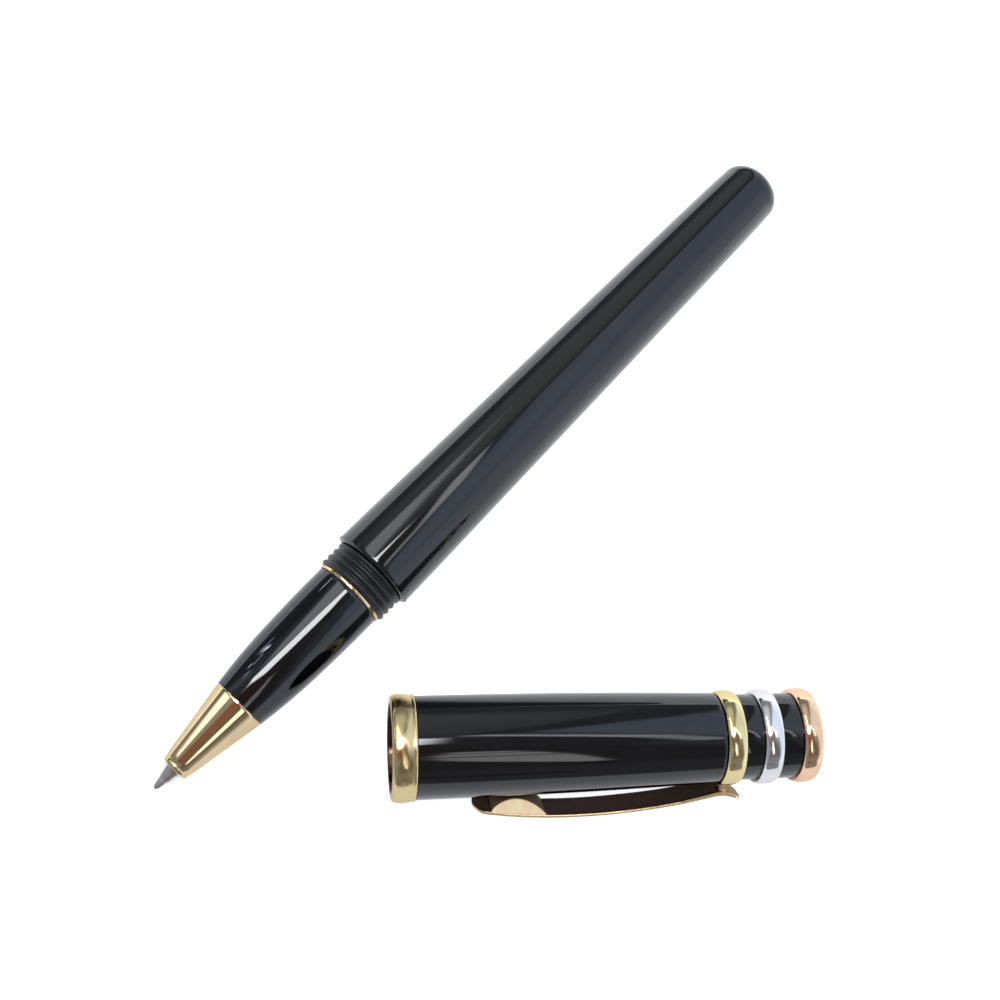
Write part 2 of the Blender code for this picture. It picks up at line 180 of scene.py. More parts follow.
class Finish:
    """A Principled material with helpers that vary it over the piece's own coordinates.

    turn is None for a piece made here, and the heading of the axis for a node kept from the pack.
    """

    def __init__(self, name, colour, turn=None, **values):
        self.material = bpy.data.materials.new(name)
        self.material.use_nodes = True
        self.tree = self.material.node_tree
        self.shader = self.tree.nodes["Principled BSDF"]
        self.shader.inputs["Base Color"].default_value = (*colour, 1)
        for key, value in values.items():
            self.shader.inputs[key.replace("_", " ")].default_value = value
        if turn is None:
            node = self.tree.nodes.new("ShaderNodeAttribute")
            node.attribute_name = "own"
            self.where = node.outputs["Vector"]
        else:
            node = self.tree.nodes.new("ShaderNodeTexCoord")
            rotate = self.tree.nodes.new("ShaderNodeMapping")
            rotate.inputs["Rotation"].default_value = (0, 0, -turn)
            self.tree.links.new(node.outputs["Object"], rotate.inputs["Vector"])
            self.where = rotate.outputs["Vector"]

    def noise(self, scale, detail=3.0, stretch=(1, 1, 1)):
        """Noise with this many features per metre."""
        mapping = self.tree.nodes.new("ShaderNodeMapping")
        mapping.inputs["Scale"].default_value = stretch
        texture = self.tree.nodes.new("ShaderNodeTexNoise")
        texture.inputs["Scale"].default_value = scale
        texture.inputs["Detail"].default_value = detail
        self.tree.links.new(self.where, mapping.inputs["Vector"])
        self.tree.links.new(mapping.outputs["Vector"], texture.inputs["Vector"])
        return texture.outputs["Fac"]

    def rings(self, fineness):
        """Fine rings left by turning, along the piece's axis; more of them with a higher fineness."""
        wave = self.tree.nodes.new("ShaderNodeTexWave")
        wave.bands_direction = "X"
        wave.inputs["Scale"].default_value = fineness * 1000 / 6.283
        wave.inputs["Distortion"].default_value = 1.5
        wave.inputs["Detail"].default_value = 2
        self.tree.links.new(self.where, wave.inputs["Vector"])
        return wave.outputs["Fac"]

    def colour(self, source, low, high, start=0.3, end=0.7):
        """Base colour from low to high as the source goes from start to end."""
        ramp = self.tree.nodes.new("ShaderNodeValToRGB")
        for element, place, shade in zip(ramp.color_ramp.elements, (start, end), (low, high)):
            element.position, element.color = place, (*shade, 1)
        self.tree.links.new(source, ramp.inputs["Fac"])
        self.tree.links.new(ramp.outputs["Color"], self.shader.inputs["Base Color"])

    def span(self, source, start, end, low=0.0, high=1.0):
        """Low to high as the source goes from start to end."""
        node = self.tree.nodes.new("ShaderNodeMapRange")
        for key, value in (("From Min", start), ("From Max", end), ("To Min", low), ("To Max", high)):
            node.inputs[key].default_value = value
        self.tree.links.new(source, node.inputs["Value"])
        return node.outputs["Result"]

    def along(self, start, end):
        """0 to 1 between two places along the piece, in millimetres."""
        split = self.tree.nodes.new("ShaderNodeSeparateXYZ")
        self.tree.links.new(self.where, split.inputs[0])
        return self.span(split.outputs["X"], start * MM, end * MM)

    def outwards(self, start, end):
        """0 to 1 between two distances from the piece's axis, in millimetres."""
        flat, length = (self.tree.nodes.new("ShaderNodeVectorMath") for _ in range(2))
        flat.operation, length.operation = "MULTIPLY", "LENGTH"
        flat.inputs[1].default_value = (0, 1, 1)
        self.tree.links.new(self.where, flat.inputs[0])
        self.tree.links.new(flat.outputs[0], length.inputs[0])
        return self.span(length.outputs["Value"], start * MM, end * MM)

    def dull_and_shaded_side(self):
        """1 on the side of a piece that is darkened, partly as a duller finish and partly as painted shade, and 0
        elsewhere.
        """
        node = self.tree.nodes.new("ShaderNodeAttribute")
        node.attribute_name = "inner"
        return node.outputs["Fac"]

    def stain_and_shade(self, amount, colour):
        """Blend the base colour towards another one; the marks made with it here are partly stains and partly
        painted shade.
        """
        base = self.shader.inputs["Base Color"]
        mix = self.tree.nodes.new("ShaderNodeMix")
        mix.data_type = "RGBA"
        self.tree.links.new(base.links[0].from_socket, mix.inputs[6])
        mix.inputs[7].default_value = (*colour, 1)
        self.tree.links.new(amount, mix.inputs["Factor"])
        self.tree.links.new(mix.outputs[2], base)

    def roughness(self, source, low, high, start=0.3, end=0.7):
        """Roughness from low to high as the source goes from start to end."""
        self.tree.links.new(self.span(source, start, end, low, high), self.shader.inputs["Roughness"])

    def bumps(self, distance, *layers):
        """Chained bumps, each (height, strength)."""
        normal = None
        for height, strength in layers:
            bump = self.tree.nodes.new("ShaderNodeBump")
            bump.inputs["Strength"].default_value = strength
            bump.inputs["Distance"].default_value = distance
            self.tree.links.new(height, bump.inputs["Height"])
            if normal is not None:
                self.tree.links.new(normal, bump.inputs["Normal"])
            normal = bump.outputs["Normal"]
        self.tree.links.new(normal, self.shader.inputs["Normal"])


def lacquer(name):
    """Polished black resin: deep base, faint polishing swirls along the piece and orange peel."""
    look = Finish(name, (0.002, 0.002, 0.003), IOR=1.5)
    look.colour(look.noise(260), (0.0014, 0.0015, 0.0020), (0.0030, 0.0032, 0.0042))
    look.roughness(look.noise(900, 6, (0.25, 1, 1)), 0.02, 0.06)
    look.bumps(0.0001, (look.noise(420, 2, (0.5, 1, 1)), 0.010),
               (look.noise(5000, 4, (0.2, 1, 1)), 0.006))
    return look.material


def satin_black(name):
    """Black resin left dull by the mould."""
    look = Finish(name, (0.006, 0.006, 0.007), IOR=1.42)
    look.colour(look.noise(1500, 4), (0.004, 0.004, 0.005), (0.009, 0.009, 0.011))
    look.roughness(look.noise(3000, 5), 0.34, 0.48)
    look.bumps(0.0001, (look.noise(900, 3), 0.010))
    return look.material


def plated(name, pale, deep, smear=0.05, lines=0.006, wear=0.010):
    """Polished plating: a slight drift of colour, turning lines and hair-fine wear. Returns the Finish,
    so that stains and painted shade can be blended in."""
    look = Finish(name, pale, Metallic=1.0)
    look.shader.inputs["Specular Tint"].default_value = (*(0.6 + 0.4 * c for c in pale), 1)
    look.colour(look.noise(180, 3), deep, pale, 0.25, 0.75)
    look.roughness(look.noise(2600, 6, (1, 0.3, 0.3)), 0.4 * smear, 1.8 * smear)
    look.bumps(0.0001, (look.noise(600, 3), wear), (look.rings(14), lines))
    return look


def band_gold(name):
    """Brushed gold whose rolled mouth is darkened: its front rim partly by tarnish and partly as painted shade,
    its inside as painted shade for the shadowed floor and cap that it reflects.
    """
    look = plated(name, (0.66, 0.52, 0.28), (0.55, 0.42, 0.20), 0.15, 0.012, 0.045)
    # Painted shade at the front rim: browned partly as tarnish and partly for the shadowed floor that it reflects.
    look.stain_and_shade(look.along(0.10, 0.01), (0.30, 0.17, 0.10))
    # Painted shade inside the mouth: near black, for the shadowed floor and the dark inside of the cap that it
    # reflects.
    look.stain_and_shade(look.outwards(6.00, 5.80), (0.06, 0.034, 0.022))
    return look.material


def clip_gold(name):
    """Bright outside and edges; the side that faces the cap is darkened, partly as a duller finish and partly as
    painted shade for the dark cap it reflects.
    """
    look = plated(name, (0.88, 0.66, 0.40), (0.78, 0.54, 0.28), 0.13, 0.0)
    look.shader.inputs["Metallic"].default_value = 0.8
    # Painted shade: the side that faces the cap is darkened, partly a duller finish and partly standing in for the
    # dark cap it reflects.
    look.stain_and_shade(look.dull_and_shaded_side(), (0.085, 0.055, 0.040))
    return look.material


def pad_gold(name):
    """Gold brushed across the pad."""
    look = Finish(name, (0.95, 0.80, 0.58), Metallic=0.35)
    look.colour(look.noise(900, 4, (3, 0.3, 0.3)), (0.90, 0.64, 0.36), (1.00, 0.84, 0.56))
    # Painted shade: the side between the flanks that faces the cap is darkened, partly a duller finish and partly
    # standing in for the dark cap it reflects.
    look.stain_and_shade(look.dull_and_shaded_side(), (0.16, 0.10, 0.065))
    look.roughness(look.noise(2200, 5, (2.5, 0.3, 0.3)), 0.34, 0.55)
    look.bumps(0.0001, (look.noise(3000, 3, (2.5, 0.15, 0.15)), 0.25))
    return look.material


def metal(name, pale, deep, rough, lines=0.06, turn=None):
    """Turned metal with streaks along it and turning lines round it."""
    look = Finish(name, pale, turn, Metallic=1.0)
    look.colour(look.noise(1400, 5, (1, 0.15, 0.15)), deep, pale)
    look.roughness(look.noise(2400, 5), 0.7 * rough, 1.3 * rough)
    look.bumps(0.0001, (look.rings(9), lines))
    return look.material


def moulded(name, pale, deep, rough, turn=None):
    """Moulded plastic with a fine grain."""
    look = Finish(name, pale, turn, IOR=1.48)
    look.colour(look.noise(700, 4), deep, pale)
    look.roughness(look.noise(2000, 5), 0.8 * rough, 1.25 * rough)
    look.bumps(0.0001, (look.noise(7000, 4), 0.08))
    return look.material


PEN_HEADING = math.atan2(PEN[1][0], PEN[0][0])
LACQUER = lacquer("polished black lacquer")
SATIN = satin_black("satin black thread")
GOLD = plated("yellow gold plate", (0.65, 0.50, 0.30), (0.56, 0.41, 0.22)).material
BAND_GOLD = band_gold("brushed gold band")
CLIP_GOLD = clip_gold("clip gold plate")
PAD_GOLD = pad_gold("brushed pad gold")
PALE_GOLD = plated("pale yellow gold ring", (0.73, 0.63, 0.36), (0.62, 0.50, 0.24), 0.09).material
ROSE = plated("rose gold ring", (0.80, 0.56, 0.38), (0.70, 0.44, 0.26), 0.09).material
WHITE = plated("white gold ring", (0.70, 0.68, 0.67), (0.60, 0.58, 0.57), 0.09).material
STEEL = metal("turned steel", (0.78, 0.74, 0.70), (0.46, 0.42, 0.39), 0.05)
CARBIDE = metal("dark carbide", (0.16, 0.16, 0.17), (0.10, 0.10, 0.11), 0.22, 0.0)
PEN_BRASS = metal("turned brass of the pen", (0.78, 0.60, 0.30), (0.62, 0.45, 0.20), 0.30,
                  turn=PEN_HEADING)
CAP_BRASS = metal("turned brass of the cap", (0.78, 0.60, 0.30), (0.62, 0.45, 0.20), 0.30, turn=0.0)
WIRE = metal("spring wire", (0.62, 0.62, 0.63), (0.45, 0.45, 0.47), 0.25, 0.02, PEN_HEADING)
REFILL = moulded("refill plastic", (0.74, 0.74, 0.71), (0.62, 0.62, 0.60), 0.38, PEN_HEADING)
INNER = moulded("inner black plastic", (0.020, 0.020, 0.023), (0.010, 0.010, 0.012), 0.45, PEN_HEADING)


# ------------------------------------------------------------------ pen

BARREL_SIDE = [(38.6, 5.985), (45.4, 5.907), (56.4, 5.725), (73.8, 5.448), (92.3, 5.15),
               (111.9, 4.815), (117.3, 4.66)]
TAIL_FLAT, TAIL_DOME, PEN_END = 1.35, 2.9, 120.2


def tail_dome(steps=28):
    start, radius = BARREL_SIDE[-1]
    drop, power = radius - TAIL_FLAT, 2 / 2.3
    angles = [math.pi / 2 * k / steps for k in range(1, steps + 1)]
    return [(start + TAIL_DOME * math.sin(a) ** power,
             radius - drop * (1 - max(math.cos(a), 0.0) ** power)) for a in angles]


def barrel():
    lip = [(37.55, 5.02), (37.55, 5.28), (37.58, 5.44), (37.68, 5.63), (37.88, 5.80), (38.18, 5.93)]
    outer = eased(lip[1:] + BARREL_SIDE, 7)
    bore = [(117.3, 0.0), (117.3, 3.35), (108.5, 3.35), (108.5, 3.7), (48.3, 4.3), (48.3, 5.02)]
    outline = outer + tail_dome() + [(PEN_END, 0.0)] + bore + [(37.55, 5.02)]
    return turned("barrel", outline, PEN, LACQUER)


def nose():
    lip = [(3.0, 1.56), (3.0, 1.62), (3.06, 1.74), (3.22, 1.84), (3.42, 1.885), (3.60, 1.865),
           (3.74, 1.90)]
    outer = eased(lip + [(4.1, 2.03), (5.5, 2.28), (9.0, 2.88), (12.6, 3.50), (13.9, 3.725)], 6)
    bore = [(13.98, 3.70), (13.98, 3.15), (17.65, 3.15), (17.65, 2.2), (8.0, 2.2), (8.0, 1.56)]
    return turned("nose_cone_shell", outer + bore, PEN, GOLD)


def grip():
    side = eased([(14.03, 3.775), (15.2, 3.935), (17.2, 4.19), (19.2, 4.385), (22.2, 4.60),
                  (26.2, 4.765), (30.0, 4.86), (33.2, 4.875)], 8)
    bore = [(33.3, 4.84), (33.3, 4.05), (22.5, 4.05), (22.5, 3.23), (14.03, 3.23)]
    return turned("grip", side + bore, PEN, LACQUER)


def trim():
    outer = softened([(33.36, 4.05), (33.36, 5.02), (33.81, 5.02), (33.81, 4.05)], 0.12)
    return turned("grip_trim_ring", outer, PEN, GOLD)


def collar():
    """Cap thread: rounded ridges that stand proud of the plain collar, each a ring of its own."""
    start, end, root, crest, pitch, ridges = 33.86, 37.5, 5.06, 5.38, 0.98, 4
    first, ridge_half = start + 0.42, 0.42 * pitch
    outer = [(start, 4.05), (start, root - 0.03)]
    steps = 96
    for k in range(steps + 1):
        along = start + 0.04 + (end - start - 0.06) * k / steps
        bump = 0.0
        for ridge in range(ridges):
            off = abs(along - (first + ridge * pitch)) / ridge_half
            if off < 1:
                bump = max(bump, (1 - off ** 1.8) ** 0.9)
        outer.append((along, root + (crest - root) * bump))
    outer += [(end, root - 0.03), (end, 4.05)]
    return turned("cap_thread_collar", outer, PEN, SATIN, sharp=60)


def tip():
    lip = [(0.12, 0.34), (0.10, 0.37), (0.12, 0.41), (0.22, 0.45)]
    cone = [(0.6, 0.565), (1.8, 0.92), (3.0, 1.275), (3.5, 1.36), (8.4, 1.36)]
    shank = [(8.4, 1.0), (13.0, 1.0), (13.0, 0.0)]
    ball_seat = [(0.55, 0.0), (0.45, 0.34)]
    return turned("writing_tip", lip + cone + shank + ball_seat, PEN, STEEL, 96)


def ball():
    rows, radius, at = 32, 0.30, 0.18
    outline = [(at - radius * math.cos(math.pi * k / rows), radius * math.sin(math.pi * k / rows))
               for k in range(rows + 1)]
    return turned("rolling_ball", outline, PEN, CARBIDE, 64, closed=False)


# ------------------------------------------------------------------ cap

CAP_SIDE = [(3.13, 6.50), (10.1, 6.46), (19.8, 6.37), (27.7, 6.235), (35.7, 6.02), (42.40, 5.80)]
RINGS = {"ring_yellow": (42.5, PALE_GOLD), "ring_silver": (47.4, WHITE), "ring_rose": (52.6, ROSE)}
RING_WIDTH, RING_RADIUS, RING_EDGE, RING_BORE, NECK = 2.5, 6.15, 5.72, 4.68, 5.53
RING_FULLNESS = 2.4                 # 2 is an ellipse; more is squarer
NECK_GAP = 0.03


def mouth_band():
    """Barrel-shaped band with a rolled mouth and a thin raised bead at its rear edge."""
    outer = eased([(0.0, 6.30), (0.05, 6.48), (0.22, 6.64), (0.55, 6.755), (1.15, 6.815), (1.8, 6.775),
                   (2.35, 6.68), (2.58, 6.63)], 8)
    bead = [(2.62, 6.645), (2.70, 6.69), (2.80, 6.705), (2.92, 6.69), (3.02, 6.63), (3.05, 6.54)]
    spigot = [(3.05, 5.87), (6.6, 5.87), (6.6, 5.6)]
    mouth = [(0.25, 5.6), (0.08, 5.66), (0.0, 5.80)]
    return turned("cap_mouth_band", outer + bead + spigot + mouth, CAP, BAND_GOLD)


def cap_tube():
    side = eased(CAP_SIDE[:-1] + [(41.3, 5.83), (41.9, 5.80), (42.25, 5.745), (42.42, 5.65)], 10)
    bore = [(42.42, 2.6), (40.4, 2.6), (40.4, 5.2), (25.0, 5.2), (25.0, 5.5), (7.0, 5.5), (7.0, 5.95),
            (3.1, 5.95), (3.1, 6.46)]
    return turned("cap_tube", side + bore, CAP, LACQUER)


def crown_ring(name):
    """Ring with a superelliptical outside and a plain bore."""
    start, look = RINGS[name]
    half, middle, steps = RING_WIDTH / 2, start + RING_WIDTH / 2, 48
    outer = []
    for k in range(steps + 1):
        q = -math.cos(math.pi * k / steps)
        rise = (1 - abs(q) ** RING_FULLNESS) ** (1 / RING_FULLNESS)
        outer.append((middle + half * q, RING_EDGE + (RING_RADIUS - RING_EDGE) * rise))
    inner = [(start + RING_WIDTH, RING_BORE), (start, RING_BORE)]
    return turned(name.replace("ring_", "band_"), outer + inner, CAP, look)


def spacer(name, ring_before, ring_after):
    """Black neck between two rings."""
    start = RINGS[ring_before][0] + RING_WIDTH + NECK_GAP
    end = RINGS[ring_after][0] - NECK_GAP
    outline = softened([(start, RING_BORE), (start, NECK), (end, NECK), (end, RING_BORE)], 0.06)
    return turned(name, outline, CAP, LACQUER)


def crown_disc():
    front, rim = CROWN_AT - 0.82, 4.58
    outline = [(front, 0.0), (front, rim), (CROWN_AT - 0.12, rim), (CROWN_AT - 0.03, rim - 0.08),
               (CROWN_AT, rim - 0.25), (CROWN_AT, 0.0)]
    return turned("crown_inlay", outline, CAP, LACQUER, closed=False)


# ------------------------------------------------------------------ clip

CLIP_OUTER = [(10.6, 8.20), (12.2, 8.64), (15.8, 9.11), (19.8, 9.43), (23.8, 9.52), (28.0, 9.41),
              (33.0, 9.04), (38.0, 8.43), (41.4, 7.90), (43.3, 7.66), (44.7, 7.86), (46.2, 8.48)]
CLIP_WIDTHS = [(11.9, 4.4), (14.5, 4.6), (30.0, 4.6), (38.0, 4.3), (43.4, 3.5), (45.1, 3.3)]
CLIP_DEPTHS = [(10.6, 0.42), (12.2, 0.5), (36.0, 0.5), (43.0, 0.66), (46.2, 0.50)]
CLIP_FOOT, CLIP_TAIL, FOOT_ROUND, TAIL_ROUND = 10.6, 46.2, 1.4, 0.9
LEVER_AT = 43.6                     # before this place the blade's inner side is darkened as a duller finish and painted shade; past it, neither


def clip_half(along):
    """Half the blade's width: rounded in plan at the foot and at the lever's end."""
    half = value_at(CLIP_WIDTHS, along) / 2
    for end, reach, least in ((CLIP_FOOT, FOOT_ROUND, 0.12), (CLIP_TAIL, TAIL_ROUND, 0.55)):
        off = abs(along - end) / reach
        if off < 1:
            half *= least + (1 - least) * math.sqrt(max(1 - (1 - off) ** 2, 0))
    return half


CLIP_HALF = 2.3                     # half the blade's width where it is widest
BLADE_CROWN, BLADE_HOLLOW, BLADE_EDGE, ACROSS = 0.07, 0.05, 0.07, 12


def blade():
    """Bowed blade with a crowned outside, a slightly hollow inside and softly broken edges."""
    loops, inner = [], []
    for along, top in eased(CLIP_OUTER, 14):
        half, depth = clip_half(along), value_at(CLIP_DEPTHS, along)
        crown, hollow = BLADE_CROWN * half / CLIP_HALF, BLADE_HOLLOW * half / CLIP_HALF
        low, rim = top - depth, top - crown
        across = [-half + BLADE_EDGE + 2 * (half - BLADE_EDGE) * k / ACROSS for k in range(ACROSS + 1)]
        outside = [(y, top - crown * (y / half) ** 2) for y in across]
        inside = [(y, low + hollow * (1 - (y / half) ** 2)) for y in across[::-1]]
        right = [(half - 0.02, rim - 0.03), (half, rim - 0.09), (half, low + 0.07),
                 (half - 0.02, low + 0.02)]
        left = [(-y, z) for y, z in right[::-1]]
        section = outside + right + inside + left
        loops.append([(along - PIVOT_AT, y, z - PIVOT_OUT) for y, z in section])
        # The inner side is darkened before the lever: partly a duller finish, partly painted shade for the dark
        # cap it faces.
        dull_and_shaded = 1.0 if along < LEVER_AT else 0.0
        inner += [0.0] * len(outside + right) + [dull_and_shaded] * len(inside) + [0.0] * len(left)
    return skinned("clip_spring_blade", loops, CLIP, CLIP_GOLD, inner=inner)


def pad():
    """Block inside the foot, as wide as the blade: an arched side that presses on the cloth and two
    ground D-shaped flanks, pointed towards the crown."""
    start, end, half, corner, steps = 12.9, 20.0, 2.22, 0.10, 48
    sunk, chamfered = 0.02, 0.95    # its root inside the blade, and the depth left at its two corners
    deepest = value_at(CAP_SIDE, 15.3) + 0.10
    roof = eased(CLIP_OUTER, 14)
    base, arch = [], []
    for k in range(steps + 1):
        share = k / steps
        along = start + (end - start) * share
        top = value_at(roof, along) - value_at(CLIP_DEPTHS, along) + sunk
        bulge = max(math.sin(math.pi * share ** 0.8), 0.02) ** 0.75
        base.append((along - PIVOT_AT, top - PIVOT_OUT))
        arch.append((along - PIVOT_AT, (top - deepest) * bulge))
    loops, inner = [], []
    # The two middle loops, the arched side and its root, are darkened: partly a duller finish, partly painted
    # shade for the dark cap they face.
    for y, share, dull_and_shaded in ((-half, chamfered, 0.0), (corner - half, 1.0, 1.0),
                           (half - corner, 1.0, 1.0), (half, chamfered, 0.0)):
        low = [(x, y, z - depth * share) for (x, z), (_, depth) in zip(base, arch)]
        loops.append(low + [(x, y, z) for x, z in base[::-1]])
        inner += [dull_and_shaded] * len(loops[-1])
    return skinned("clip_foot_pad", loops, CLIP, PAD_GOLD, 30, inner)


def ears():
    """Two rounded ears under the blade that hold the pivot pin."""
    half, drop, rise, steps = 0.5, 0.42, 0.5, 24
    near_side, far_side = 0.70, 1.20
    turns = [math.pi * (1 + k / steps) for k in range(steps + 1)]
    outline = [(half * math.cos(a), drop * math.sin(a)) for a in turns] + [(half, rise), (-half, rise)]
    made = []
    for side, name in ((-1, "clip_ear_a"), (1, "clip_ear_b")):
        flanks = sorted((side * near_side, side * far_side))
        loops = [[(x, y, z) for x, z in outline] for y in flanks]
        made.append(skinned(name, loops, CLIP, CLIP_GOLD))
    return made


def lug():
    """Post on the yellow ring: wide at its foot, waisted under the pin."""
    foot, roof, steps = RING_RADIUS - 0.12 - PIVOT_OUT, 0.30, 16
    squareness, sides = 0.6, 32     # 1 is an ellipse in plan; less is squarer
    turns = [2 * math.pi * k / sides for k in range(sides)]
    loops = []
    for k in range(steps + 1):
        z = foot + (roof - foot) * k / steps
        flare = 1 + 0.35 * (1 - k / steps) ** 3
        half_x, half_y = 0.55 * flare, 0.6
        loops.append([(half_x * math.copysign(abs(math.cos(a)) ** squareness, math.cos(a)),
                       half_y * math.copysign(abs(math.sin(a)) ** squareness, math.sin(a)), z)
                      for a in turns])
    return skinned("clip_post", loops, CLIP, CLIP_GOLD)


def pin():
    """Pivot pin across the clip, with its two ends chamfered."""
    across = CLIP @ Matrix.Rotation(math.pi / 2, 4, "Z")
    reach, radius, chamfer = 1.3, 0.22, 0.05
    end = [(-reach, 0.0), (-reach, radius - chamfer), (chamfer - reach, radius)]
    outline = end + [(-x, r) for x, r in end[::-1]]
    return turned("clip_pivot_pin", outline, across, STEEL, 32, closed=False)


# ------------------------------------------------------------------ putting together

def stand_in(obj, body, slot, *nodes):
    """The piece moves with this body and takes the place of these nodes."""
    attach(obj, body)
    if nodes:
        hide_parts(*nodes)


def build_pen():
    stand_in(barrel(), "barrel", "lacquer", "barrel_shell")
    stand_in(grip(), "grip", "lacquer", "grip_section")
    stand_in(nose(), "grip", "yellow_gold", "nose_cone")
    stand_in(trim(), "grip", "yellow_gold", "trim_ring")
    stand_in(collar(), "grip", "lacquer", "thread_collar")
    stand_in(tip(), "refill", "steel", "refill_tip")
    stand_in(ball(), "ball", "carbide", "writing_ball")


def build_cap():
    stand_in(cap_tube(), "cap", "lacquer", "cap_shell")
    stand_in(mouth_band(), "cap", "yellow_gold", "mouth_band")
    for name, slot in (("ring_yellow", "yellow_gold"), ("ring_silver", "white_gold"),
                       ("ring_rose", "rose_gold")):
        stand_in(crown_ring(name), "cap", slot, name)
    stand_in(spacer("neck_front", "ring_yellow", "ring_silver"), "cap", "lacquer", "spacer_front")
    stand_in(spacer("neck_rear", "ring_silver", "ring_rose"), "cap", "lacquer", "spacer_rear")
    stand_in(crown_disc(), "cap", "lacquer", "crown_disc")
    stand_in(lug(), "cap", "yellow_gold", "clip_lug")
    stand_in(pin(), "cap", "steel", "clip_pin")


def build_clip():
    stand_in(blade(), "clip", "yellow_gold", "clip_blade")
    stand_in(pad(), "clip", "yellow_gold", "clip_pad")
    for ear in ears():
        stand_in(ear, "clip", "yellow_gold")


def paint_kept_nodes():
    """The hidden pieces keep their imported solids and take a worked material."""
    for mat, *nodes in ((PEN_BRASS, "barrel_thread_sleeve", "grip_liner"),
                        (INNER, "spring_seat", "refill_end_plug", "cap_inner_sleeve"),
                        (WIRE, "refill_spring"),
                        (REFILL, "refill_nose", "refill_tube"),
                        (CAP_BRASS, "crown_nut", "crown_stud")):
        for node in nodes:
            for slot in frame["nodes"][node].material_slots:
                slot.material = mat


# ------------------------------------------------------------------ studio

CAMERA_AT = Vector((-0.022255, -0.044992, 0.166146))
CAMERA_AIM = Vector((0.001450, -0.003133, 0.0))
CAMERA_ROLL = math.radians(28.15)
LENS, SENSOR = 44.6, 36.0


def camera():
    data = bpy.data.cameras.new("camera")
    data.lens, data.sensor_width = LENS, SENSOR
    data.clip_start = 0.005
    obj = bpy.data.objects.new("camera", data)
    bpy.context.scene.collection.objects.link(obj)
    look = (CAMERA_AIM - CAMERA_AT).to_track_quat("-Z", "Y").to_matrix().to_4x4()
    obj.matrix_world = Matrix.Translation(CAMERA_AT) @ look @ Matrix.Rotation(CAMERA_ROLL, 4, "Z")
    bpy.context.scene.camera = obj


TABLE_SIDE = 3.0                    # half the table's side, metres
GLOW_NEAR_Y, GLOW_FAR_Y = -0.050, 0.060
GLOW_FAR, GLOW_SEEN = 0.75, 0.70    # glow at the far side, and the extra that only the camera sees


def floor():
    """Pale matte light table, which glows more towards its far side."""
    look = Finish("pale table", (0.88, 0.88, 0.88), 0.0)
    tree, link = look.tree, look.tree.links.new
    look.colour(look.noise(30, 3), (0.87, 0.87, 0.87), (0.89, 0.89, 0.89))
    look.roughness(look.noise(60, 3), 0.65, 0.75)
    look.shader.inputs["Emission Color"].default_value = (0.97, 0.98, 1.0, 1)
    split = tree.nodes.new("ShaderNodeSeparateXYZ")
    link(look.where, split.inputs[0])
    glow = look.span(split.outputs["Y"], GLOW_NEAR_Y, GLOW_FAR_Y, 0.0, GLOW_FAR)
    seen = tree.nodes.new("ShaderNodeMath")
    seen.operation = "MULTIPLY_ADD"
    link(tree.nodes.new("ShaderNodeLightPath").outputs["Is Camera Ray"], seen.inputs[0])
    seen.inputs[1].default_value = GLOW_SEEN
    link(glow, seen.inputs[2])
    link(seen.outputs[0], look.shader.inputs["Emission Strength"])
    mesh = bpy.data.meshes.new("table")
    corners = [(x * TABLE_SIDE, y * TABLE_SIDE, 0) for x, y in ((-1, -1), (1, -1), (1, 1), (-1, 1))]
    mesh.from_pydata(corners, [], [(0, 1, 2, 3)])
    mesh.materials.append(look.material)
    obj = bpy.data.objects.new("table", mesh)
    bpy.context.scene.collection.objects.link(obj)


ROOM = (0.38, 0.43, 0.50)       # walls and ceiling, before the panels
BACKDROP = (1.0, 1.0, 1.0)
